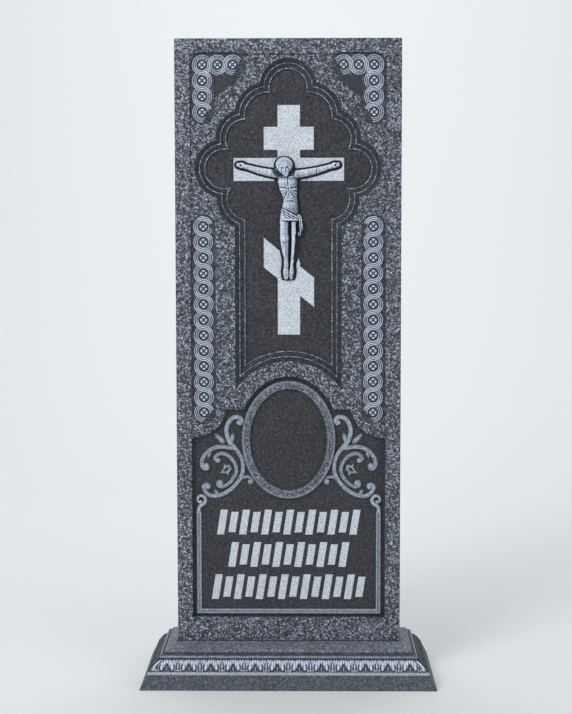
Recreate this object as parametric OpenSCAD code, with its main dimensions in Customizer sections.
// Grave memorial stele with a crucifix niche, standing on a moulded plinth.
// Sizes in millimetres. X is across the front, the front faces -Y, Z is up.
// The origin is the middle of the plinth's underside.

/* [Stele slab] */
// Width of the stele across the front
stele_w = 410; // [396:1:500]
// Height of the stele from its foot to its top edge
stele_h = 1100; // [1085:5:1400]
// Thickness of the stele at its raised border
stele_t = 80; // [66:1:120]
// Width of the broken edges of the slab
edge_break = 2; // [1:0.5:4]
// Width of the raised border round the front
border_w = 27.5; // [18:0.5:33]
// Height of the border above the field inside it
border_rise = 4.5; // [2:0.5:8]

/* [Niche] */
// Depth of the niche floor below the field
niche_d = 14; // [12:0.5:22]
// Distance of the top lobe's centre below the stele's top edge
top_lobe_drop = 87; // [84:1:110]
// Radius of the top lobe
top_lobe_r = 34; // [30:0.5:36]
// Sideways place of the upper lobes
upper_lobe_x = 37; // [32:1:42]
// Distance of the upper lobes below the top lobe
upper_lobe_drop = 50; // [46:1:54]
// Radius of the upper lobes
upper_lobe_r = 42; // [38:0.5:45]
// Sideways place of the shoulder lobes
shoulder_lobe_x = 78; // [74:1:82]
// Distance of the shoulder lobes below the top lobe
shoulder_lobe_drop = 92; // [88:1:96]
// Radius of the shoulder lobes
shoulder_lobe_r = 35.5; // [34.5:0.5:38]
// Sideways place of the side lobes
side_lobe_x = 116; // [110:1:118]
// Distance of the side lobes below the top lobe
side_lobe_drop = 146; // [142:1:150]
// Radius of the side lobes
side_lobe_r = 35.5; // [34.5:0.5:37]
// Sideways place of the low lobes
low_lobe_x = 73; // [70:1:78]
// Distance of the low lobes below the top lobe
low_lobe_drop = 200; // [196:1:206]
// Radius of the low lobes
low_lobe_r = 38; // [36:0.5:40]
// Half of the width of the straight part of the niche
throat_half_w = 79; // [74:1:84]
// Radius of the arch that closes the niche below
arch_r = 134; // [126:1:140]

/* [Niche moulding] */
// Distance between the inner and the outer moulding line
line_gap = 8.5; // [7:0.5:10]
// Width of the slope outside the outer moulding line
cove_w = 8; // [5:0.5:8.5]
// Width of the flat land on each moulding line
land_w = 3; // [2:0.5:4]
// Depth of the outer land below the field
outer_land_d = 6; // [4:0.5:7]
// Depth of the inner land below the field
inner_land_d = 10; // [8.5:0.5:11]

/* [Cross] */
// Height of the cross above the niche floor
cross_rise = 3; // [2:0.5:5]
// Distance of the cross to the right of the stele's middle
cross_shift = 1; // [0:0.5:3]
// Width of the post
post_w = 41; // [36:1:46]
// Distance of the post's upper end below the stele's top edge
post_drop = 118; // [112:1:125]
// Gap between the post's lower end and the arch below it
post_gap = 30; // [20:1:60]
// Height of the upper and the main bar
bar_h = 41.7; // [36:0.1:46]
// Length of the upper bar
upper_bar_w = 91; // [80:1:100]
// Distance of the upper bar's centre below the post's upper end
upper_bar_drop = 60; // [55:1:65]
// Length of the main bar
main_bar_w = 201; // [190:1:206]
// Distance of the main bar's centre below the post's upper end
main_bar_drop = 116; // [112:1:121]
// Length of the slanting bar, measured level
slant_bar_w = 92; // [84:1:100]
// Upright height of the slanting bar
slant_bar_h = 54; // [48:1:60]
// Distance of the slanting bar's centre below the post's upper end
slant_bar_drop = 303; // [296:1:312]
// Fall of the slanting bar from its left to its right end
slant_fall = 72.7; // [60:0.1:80]

/* [Figure] */
// Level of the nailed hands below the post's upper end
hand_drop = 109.5; // [106:0.5:114]
// Sideways reach of each hand
hand_x = 87; // [84:1:92]
// Radius of the upper arm
arm_r = 7.6; // [6:0.1:8.5]
// Radius of the wrist
wrist_r = 6.4; // [5:0.1:7]
// Half of the chest's width
chest_half_w = 19.5; // [18:0.5:21]
// How far the chest stands forward of the cross
chest_relief = 14; // [10:0.5:18]
// Half of the head's width with its hair
head_half_w = 15; // [13:0.5:17]
// Height of the bowed head
head_h = 35; // [32:0.5:38]
// Sideways lean of the head's centre
head_lean = -8; // [-10:0.5:-4]
// Distance from the hands' level down to the tips of the feet
figure_drop = 208; // [204:1:214]

/* [Panel] */
// Depth of the lower panel below the field
panel_d = 9; // [7:0.5:14]
// Height of the panel's lower edge above the stele's foot
panel_foot = 42; // [36:1:46]
// Height of the panel's shoulders above the stele's foot
panel_top = 428; // [422:1:436]
// Radius of the quarter rounds that cut the panel's upper corners
panel_bite_r = 66; // [58:1:70]
// Gap between the oval ring and the panel's hump over it
hump_gap = 7.5; // [5:0.5:9]

/* [Oval ring] */
// Height of the oval's centre above the stele's foot
oval_z = 372; // [368:1:376]
// Width of the opening in the ring
oval_w = 140; // [130:1:146]
// Height of the opening in the ring
oval_h = 186; // [176:1:190]
// Width of the ring's band
ring_w = 16.4; // [12:0.2:18]
// Height of the ring above the panel floor
ring_rise = 9; // [5:0.5:12]
// Depth of the rebate round the opening
rebate_d = 3; // [1:0.5:4]
// Width of the rebate round the opening
rebate_w = 4; // [2:0.5:6]

/* [Scrolls and frame bar] */
// Height of the scrolls above the panel floor
scroll_rise = 5; // [3:0.5:7]
// Width of the scroll bands
scroll_w = 7.6; // [6:0.2:9]
// Width of the small curl's band under the oval
curl_w = 4.8; // [3.6:0.2:6]
// Radius of the knob that ends each scroll
knob_r = 5; // [4:0.2:6]
// Width of the thin frame bar
bar_w = 9; // [6:0.5:11]
// Height of the thin frame bar above the panel floor
bar_rise = 4; // [2:0.5:6]
// Gap between the frame bar and the panel's sides
bar_side_gap = 7.5; // [5:0.5:9]
// Gap between the frame bar and the panel's lower edge
bar_foot_gap = 5; // [3:0.5:8]
// Height of the frame bar's upper ends above the stele's foot
bar_top = 254; // [248:1:258]
// Radius of the volute at each upper end of the frame bar
volute_r = 9; // [7:0.5:10]

/* [Stroke rows] */
// Height of one stroke
stroke_h = 46.5; // [40:0.5:50]
// Thickness of one stroke
stroke_w = 13.4; // [10:0.2:15]
// Pitch of the strokes
stroke_pitch = 20.4; // [19:0.1:22]
// Lean of the strokes from upright, in degrees
stroke_lean = 9; // [0:1:12]
// Height of the strokes above the panel floor
stroke_rise = 2; // [1:0.5:4]
// Height of the lowest row's centre above the stele's foot
row_z = 97; // [92:1:102]
// Pitch of the rows
row_pitch = 60.6; // [58:0.2:64]
// Strokes in the upper row
upper_row_n = 13; // [9:1:13]
// Strokes in the middle row
middle_row_n = 11; // [9:1:13]
// Strokes in the lower row
lower_row_n = 14; // [9:1:14]

/* [Guilloche] */
// Width of one guilloche disc
disc_w = 36; // [33:0.5:38]
// Pitch of the guilloche discs
disc_pitch = 28.3; // [27:0.1:29]
// Gap between the guilloche and the border
disc_gap = 3.5; // [2:0.5:5]
// Height of the guilloche above the field
disc_rise = 2.5; // [1.5:0.5:4]
// Depth of the groove round each disc's centre
eye_d = 1.5; // [1:0.5:2]
// Discs in each side strip
strip_n = 13; // [9:1:13]
// Height of the lowest disc of the side strips above the stele's foot
strip_foot = 423; // [420:1:440]
// Discs along each arm of the corner pieces
corner_n = 3; // [2:1:3]

/* [Plinth] */
// Height of the plinth where the stele stands on it
plinth_h = 70; // [62:1:90]
// Reach of the plinth's top edge beyond the stele at each side
top_reach_x = 20.5; // [14:0.5:40]
// Reach of the plinth's top edge beyond the stele at front and back
top_reach_y = 48.5; // [30:0.5:80]
// Fall of the sloping top from the stele to the top edge
top_fall = 9; // [5:0.5:14]
// Height of the upright face under the top edge
riser_h = 5; // [3:0.5:7]
// Radius of the bead
bead_r = 3.2; // [2:0.1:4]
// Reach of the bead beyond the top edge
bead_reach = 9; // [6:0.5:12]
// Height of the sloping base
skirt_h = 26; // [20:1:29]
// Height of the fillet over the base
fillet_h = 4; // [3:0.5:6]
// Reach of the fillet beyond the bead
fillet_reach = 20.5; // [16:0.5:28]
// Reach of the base's lower edge beyond the fillet
skirt_reach = 13; // [8:0.5:18]
// Wanted pitch of the leaves on the plinth's band
leaf_pitch = 40; // [34:1:48]
// Thickness of the leaves
leaf_rise = 2.4; // [1.5:0.1:3.5]

/* [Hidden] */
face_y = -stele_t / 2;
field_y = face_y + border_rise;
niche_y = field_y + niche_d;
cross_y = niche_y - cross_rise;
panel_y = field_y + panel_d;
field_half_w = stele_w / 2 - border_w;
foot_z = plinth_h;
top_z = plinth_h + stele_h;
lobe_z = top_z - top_lobe_drop;
oval_cz = foot_z + oval_z;
arch_lift = 29;
arch_z = oval_cz + arch_lift;
post_top = top_z - post_drop;
post_foot = arch_z + arch_r + post_gap;
hand_z = post_top - hand_drop;
grow = [cove_w + line_gap + land_w / 2, line_gap + land_w / 2, line_gap - land_w / 2, land_w / 2, -land_w / 2];
bite = 1;
band_swell = -0.12;
eye_w = disc_w * 0.56;
pip_w = disc_w * 0.4;
limb_n = 14;
arm_seat = 4;
shoulder_drop = 15;
bite_lift = 13;
spandrel_gap = 5;
spandrel_w = 46;
spandrel_h = 38;
spandrel_d = 2;
leaf_w = 20;
leaf_straight = 13;
leaf_hole_r = 3.5;
leaf_root = 4;
lobes = [
    [0, lobe_z, top_lobe_r],
    [upper_lobe_x, lobe_z - upper_lobe_drop, upper_lobe_r],
    [shoulder_lobe_x, lobe_z - shoulder_lobe_drop, shoulder_lobe_r],
    [side_lobe_x, lobe_z - side_lobe_drop, side_lobe_r],
    [low_lobe_x, lobe_z - low_lobe_drop, low_lobe_r]
];

$fn = 64;

// Extrudes a drawing made in X and Z from depth y towards the front.
module front(y, h) {
    translate([0, y, 0]) rotate([90, 0, 0]) linear_extrude(h) children();
}

// Repeats its drawing on both sides of the middle line.
module both() {
    children();
    mirror([1, 0, 0]) children();
}

// A solid with a moulding mitred round a rectangle of half width w and half depth d. The moulding
// is a list of [reach, height] from the foot up; top gives the closing rectangle.
module mitred_stack(w, d, moulding, top) {
    rings = concat([for (m = moulding) [w + m[0], d + m[0], m[1]]], [top]);
    last = len(rings) - 1;
    polyhedron(
        points = [for (s = rings, c = [[-1, -1], [1, -1], [1, 1], [-1, 1]]) [c[0] * s[0], c[1] * s[1], s[2]]],
        faces = concat(
            [[0, 1, 2, 3]],
            [[for (i = [3 : -1 : 0]) last * 4 + i]],
            [for (k = [0 : last - 1], i = [0 : 3]) [(k + 1) * 4 + i, (k + 1) * 4 + (i + 1) % 4, k * 4 + (i + 1) % 4, k * 4 + i]]
        )
    );
}

// A body lofted through level ellipses, each [x, y, z, half width, half depth], from the top down.
module loft(rings) {
    n = limb_n;
    last = len(rings) - 1;
    polyhedron(
        points = [for (s = rings, i = [0 : n - 1])
            [s[0] + s[3] * cos(360 * i / n), s[1] + s[4] * sin(360 * i / n), s[2]]],
        faces = concat(
            [[for (i = [n - 1 : -1 : 0]) i]],
            [[for (i = [0 : n - 1]) last * n + i]],
            [for (k = [0 : last - 1], i = [0 : n - 1]) [k * n + i, (k + 1) * n + (i + 1) % n, (k + 1) * n + i]],
            [for (k = [0 : last - 1], i = [0 : n - 1]) [k * n + i, k * n + (i + 1) % n, (k + 1) * n + (i + 1) % n]]
        )
    );
}

// One slope of the niche moulding cut round every lobe and down the straight part.
module niche_step(outer, inner, y, h) {
    translate([0, y, 0]) both() for (l = lobes)
        translate([l[0], 0, l[1]]) rotate([90, 0, 0]) cylinder(h = h, r1 = l[2] + inner, r2 = l[2] + outer);
}

// The straight part of the niche and its middle, closed below by the arch.
module niche_throat(g, y, h) {
    front(y, h) difference() {
        union() {
            translate([-throat_half_w - g, arch_z]) square([2 * (throat_half_w + g), lobe_z - low_lobe_drop - arch_z]);
            translate([-shoulder_lobe_x, lobe_z - low_lobe_drop - bite])
                square([2 * shoulder_lobe_x, low_lobe_drop - shoulder_lobe_drop + bite]);
            translate([-upper_lobe_x, lobe_z - shoulder_lobe_drop - bite])
                square([2 * upper_lobe_x, shoulder_lobe_drop - upper_lobe_drop + 2 * bite]);
        }
        translate([0, arch_z]) circle(r = arch_r - g, $fn = 128);
    }
}

module niche_cut() {
    niche_step(grow[0], grow[1], field_y + outer_land_d, outer_land_d);
    niche_step(grow[2], grow[3], field_y + inner_land_d, inner_land_d - outer_land_d);
    niche_step(grow[4], grow[4], niche_y, niche_d - inner_land_d + bite);
    niche_throat(grow[1], field_y + outer_land_d, outer_land_d + bite);
    niche_throat(grow[3], field_y + inner_land_d, inner_land_d + bite);
    niche_throat(grow[4], niche_y, niche_d + bite);
}

// The oval widened on every side by g.
module oval(g) {
    translate([0, oval_cz]) scale([(oval_w + 2 * g) / (oval_h + 2 * g), 1]) circle(d = oval_h + 2 * g, $fn = 96);
}

module panel_cut() {
    front(panel_y, panel_d + bite) union() {
        difference() {
            translate([-field_half_w, foot_z + panel_foot]) square([2 * field_half_w, panel_top - panel_foot]);
            both() translate([field_half_w, foot_z + panel_top + bite_lift]) circle(r = panel_bite_r);
        }
        oval(ring_w + hump_gap);
    }
}

// The dark spandrel inside each corner piece.
module spandrel_cut() {
    inner = disc_gap + disc_w + spandrel_gap;
    x = field_half_w - inner;
    z = top_z - border_w - inner;
    front(field_y + spandrel_d, spandrel_d + bite) both() polygon([[x, z], [x - spandrel_w, z], [x, z - spandrel_h]]);
}

module disc(x, z) {
    translate([x, z]) circle(d = disc_w, $fn = 48);
}

module eye(x, z) {
    translate([x, z]) difference() {
        circle(d = eye_w, $fn = 36);
        circle(d = pip_w, $fn = 36);
    }
}

// Calls its drawing at every disc of the strips and the corner pieces.
module guilloche(at_eyes) {
    x = field_half_w - disc_gap - disc_w / 2;
    z = top_z - border_w - disc_gap - disc_w / 2;
    places = concat(
        [for (i = [0 : strip_n - 1]) [x, foot_z + strip_foot + i * disc_pitch]],
        [for (i = [0 : corner_n]) [x, z - i * disc_pitch]],
        [for (i = [1 : corner_n - 1]) [x - i * disc_pitch, z]]
    );
    both() for (p = places) if (at_eyes) eye(p[0], p[1]); else disc(p[0], p[1]);
}

module cross() {
    front(niche_y + bite, cross_rise + bite) translate([cross_shift, 0]) union() {
        translate([-post_w / 2, post_foot]) square([post_w, post_top - post_foot]);
        translate([-upper_bar_w / 2, post_top - upper_bar_drop - bar_h / 2]) square([upper_bar_w, bar_h]);
        translate([-main_bar_w / 2, post_top - main_bar_drop - bar_h / 2]) square([main_bar_w, bar_h]);
        translate([0, post_top - slant_bar_drop]) polygon([
            [-slant_bar_w / 2, slant_fall / 2 + slant_bar_h / 2], [slant_bar_w / 2, -slant_fall / 2 + slant_bar_h / 2],
            [slant_bar_w / 2, -slant_fall / 2 - slant_bar_h / 2], [-slant_bar_w / 2, slant_fall / 2 - slant_bar_h / 2]
        ]);
    }
}

// An arm from the shoulder at x = 0 out to the nailed hand, which is drop lower at the shoulder.
// It is lofted upright and then laid on its side.
module arm(drop) {
    span = hand_x - chest_half_w + arm_seat;
    rotate([0, -90, 0]) loft([
        [drop - 1, cross_y - 1, -span - 7, wrist_r * 0.7, 3], [drop, cross_y - 2, -span, wrist_r * 1.25, 4.6],
        [drop - 1, cross_y - 2.5, -span * 0.84, wrist_r, 5.6], [drop * 0.6, cross_y - 3.5, -span * 0.6, arm_r, 7],
        [drop * 0.3, cross_y - 4, -span * 0.3, arm_r, 7.6], [0, cross_y - 4, 0, arm_r * 1.1, 8.4],
        [-2, cross_y - 3, 8, arm_r, 8]
    ]);
}

module figure() {
    y = cross_y;
    z = hand_z;
    w = chest_half_w;
    d = chest_relief;
    loft([
        [head_lean + 1, y - d, z - 4, 6, 5], [0, y - d * 0.5, z - 11, w * 1.05, d * 0.45],
        [0, y - d * 0.35, z - 22, w, d * 0.75], [0, y - d * 0.35, z - 40, w * 0.86, d * 0.7],
        [1, y - d * 0.3, z - 58, w * 0.7, d * 0.55], [1, y - d * 0.3, z - 74, w * 0.78, d * 0.55],
        [1, y - d * 0.4, z - 84, w * 0.98, d * 0.7], [1, y - d * 0.45, z - 103, w * 0.96, d * 0.7],
        [1, y - d * 0.5, z - 114, w * 0.8, d * 0.6]
    ]);
    both() translate([chest_half_w - arm_seat, 0, z - shoulder_drop]) arm(shoulder_drop);
    for (side = [-1, 1]) loft([
        [side * 8, y - d * 0.4, z - 96, 9, 8], [side * 7, y - d * 0.6, z - 118, 8.2, 8],
        [side * 6.4, y - d * 0.85, z - 138, 7, 7.4], [side * 6, y - d * 0.55, z - 156, 6.4, 7],
        [side * 5, y - d * 0.35, z - 182, 4.4, 5], [side * 5, y - d * 0.5, z - figure_drop + 10, 5.2, 5.4],
        [side * 4.4, y - d * 0.7, z - figure_drop, 4, 3]
    ]);
    loft([
        [w * 0.9, y - d * 0.3, z - 84, 4, 7], [w + 3, y - d * 0.3, z - 104, 6, 6], [w + 1, y - d * 0.2, z - 132, 4, 4]
    ]);
    loft([
        [head_lean, y - d * 0.6, z + head_h * 0.44, head_half_w * 0.4, 4], [head_lean, y - d * 0.8, z + head_h * 0.36, head_half_w * 0.8, 9],
        [head_lean, y - d * 0.9, z + head_h * 0.12, head_half_w, 12], [head_lean - 1, y - d * 0.9, z - head_h * 0.2, head_half_w * 0.94, 12],
        [head_lean, y - d * 1.05, z - head_h * 0.42, head_half_w * 0.55, 8], [head_lean, y - d * 1.1, z - head_h * 0.56, head_half_w * 0.2, 4]
    ]);
}

module ring() {
    front(panel_y + bite, ring_rise + bite) difference() {
        oval(ring_w);
        oval(rebate_w);
    }
    front(panel_y + bite, ring_rise - rebate_d + bite) difference() {
        oval(rebate_w + bite);
        oval(0);
    }
}

// A band of the even width w along a spiral round the point c: its radius goes from r0 to r1 as its
// angle, counted from +X, goes from a0 to a1.
module spiral(c, r0, r1, a0, a1, w = scroll_w) {
    steps = ceil(abs(a1 - a0) / 12);
    sides = [for (k = [-1, 1]) [for (i = [0 : steps])
        let (t = i / steps, a = a0 + (a1 - a0) * t, r = r0 + (r1 - r0) * t + k * w / 2) [r * cos(a), r * sin(a)]]];
    translate(c) polygon(concat(sides[1], [for (i = [steps : -1 : 0]) sides[0][i]]));
}

// The scroll beside the oval, drawn for the right-hand side about the oval's middle.
module scroll() {
    hub = [127, -56];
    front(panel_y + bite, scroll_rise + bite) translate([0, oval_cz]) {
        // The outer C with a curl at each end.
        spiral(hub, 40, 44, 28, 90);
        spiral(hub, 44, 44, 90, 245);
        spiral(hub, 44, 51, 245, 292);
        spiral([149.5, -42], 15, 10, 64, -95);
        spiral([148.5, -93], 12, 9, -80, 130);
        // The inner C with a curl at each end.
        spiral(hub, 33, 32, 90, 258);
        spiral([129, -34], 11, 6.5, 96, -100);
        spiral([123, -80], 9, 6, -90, 120);
        // The stem that rises from the outer C and curls against the oval.
        spiral([98, 26], 20, 17, -62, 150);
        translate([108, -4]) rotate(-8) square([scroll_w, 26], center = true);
        // The small curl under the oval.
        spiral([72.5, -76.5], 8.4, 5.2, 90, 300, curl_w);
        translate([81, -69]) rotate(-12) square([20, curl_w], center = true);
        for (k = [[92, 31], [148, -45], [147, -89], [130, -38], [121, -78]]) translate(k) circle(r = knob_r, $fn = 24);
        // A bud above, a leaf inside and small thorns.
        translate([127, 3]) rotate(45) scale([1, 2.4]) circle(r = 5, $fn = 24);
        for (leaf_place = [[113, -54, 20, 10], [103, 4, 75, 6], [131, -101, 60, 6], [143, -22, -70, 6]])
            translate([leaf_place[0], leaf_place[1]]) rotate(leaf_place[2]) circle(r = leaf_place[3], $fn = 3);
    }
}

module frame_bar() {
    x = field_half_w - bar_side_gap;
    z = foot_z + panel_foot + bar_foot_gap;
    front(panel_y + bite, bar_rise + bite) union() {
        translate([-x, z]) square([2 * x, bar_w]);
        both() translate([x - bar_w, z]) square([bar_w, foot_z + bar_top - z]);
        both() translate([x - volute_r, foot_z + bar_top + volute_r * 0.7]) circle(r = volute_r, $fn = 32);
    }
}

// One row of slanting strokes; every second one is a little shorter.
module stroke_row(n, level) {
    for (i = [0 : n - 1]) {
        h = stroke_h * (i % 2 == 0 ? 1 : 0.82) / 2;
        lean = h * tan(stroke_lean);
        translate([(i - (n - 1) / 2) * stroke_pitch, foot_z + row_z + level * row_pitch])
            polygon([[-stroke_w / 2 - lean, -h], [stroke_w / 2 - lean, -h], [stroke_w / 2 + lean, h], [-stroke_w / 2 + lean, h]]);
    }
}

module strokes() {
    front(panel_y + bite, stroke_rise + bite) {
        stroke_row(lower_row_n, 0);
        stroke_row(middle_row_n, 1);
        stroke_row(upper_row_n, 2);
    }
}

// A rectangle about the middle line, its upper corners cut by the edge break and its lower ones by foot_break.
module broken_rectangle(w, low, high, foot_break) {
    b = edge_break;
    polygon([
        [-w / 2 + foot_break, low], [w / 2 - foot_break, low], [w / 2, low + foot_break],
        [w / 2, high - b], [w / 2 - b, high], [-w / 2 + b, high], [-w / 2, high - b], [-w / 2, low + foot_break]
    ]);
}

// The slab with its upright and upper edges broken.
module slab() {
    intersection() {
        translate([0, 0, foot_z]) linear_extrude(stele_h) broken_rectangle(stele_w, face_y, -face_y, edge_break);
        front(stele_t, 2 * stele_t) broken_rectangle(stele_w, foot_z, top_z, 0);
        rotate([90, 0, 90]) translate([0, 0, -stele_w]) linear_extrude(2 * stele_w)
            broken_rectangle(stele_t, foot_z, top_z, 0);
    }
}

module stele() color("DimGray") {
    difference() {
        union() {
            difference() {
                slab();
                translate([-field_half_w, face_y - bite, foot_z + panel_foot])
                    cube([2 * field_half_w, border_rise + bite, stele_h - panel_foot - border_w]);
                niche_cut();
                panel_cut();
                spandrel_cut();
            }
            front(field_y + bite, disc_rise + bite) guilloche(false);
        }
        front(field_y - disc_rise + eye_d, eye_d + bite) guilloche(true);
    }
    cross();
    figure();
    ring();
    both() scroll();
    frame_bar();
    strokes();
}

// One leaf of the plinth's band, standing on the front face with its foot at the fillet.
module leaf(band_d, slope) {
    translate([0, -band_d, skirt_h + fillet_h]) rotate([90 - slope, 0, 0]) translate([0, 0, -leaf_root])
        linear_extrude(leaf_root + leaf_rise) difference() {
            union() {
                translate([0, leaf_straight]) circle(d = leaf_w, $fn = 24);
                translate([-leaf_w / 2, 0]) square([leaf_w, leaf_straight]);
            }
            translate([0, leaf_straight - 2]) circle(r = leaf_hole_r, $fn = 16);
        }
}

// A run of leaves along one side of the plinth, spread evenly over its length.
module leaf_run(length, band_d, slope) {
    n = round(length / leaf_pitch);
    for (i = [0 : n - 1]) translate([(i - (n - 1) / 2) * length / n, 0, 0]) leaf(band_d, slope);
}

module plinth() color("SlateGray") {
    w = stele_w / 2 + top_reach_x;
    d = stele_t / 2 + top_reach_y;
    edge = plinth_h - top_fall;
    bead_z = edge - riser_h - bead_r;
    band_z = bead_z - bead_r;
    fillet = bead_reach + fillet_reach;
    skirt_top = skirt_h + fillet_h;
    band_foot = fillet - 2;
    slope = atan2(band_foot - bead_reach, band_z - skirt_top);
    mitred_stack(w, d, concat(
        [[fillet + skirt_reach, 0], [fillet, skirt_h], [fillet, skirt_top], [band_foot, skirt_top]],
        [for (t = [0 : 0.25 : 1]) [band_foot + (bead_reach - 2 - band_foot) * (t + sin(180 * t) * band_swell), skirt_top + (band_z - skirt_top) * t]],
        [for (a = [-90 : 30 : 90]) [bead_reach - bead_r + bead_r * cos(a), bead_z + bead_r * sin(a)]],
        [[0, edge - riser_h], [0, edge]]
    ), [stele_w / 2 + 1, stele_t / 2 + 1, plinth_h]);
    for (turn = [0, 180]) rotate([0, 0, turn]) leaf_run(2 * (w + bead_reach), d + band_foot, slope);
    for (turn = [90, 270]) rotate([0, 0, turn]) leaf_run(2 * (d + bead_reach), w + band_foot, slope);
}

stele();
plinth();
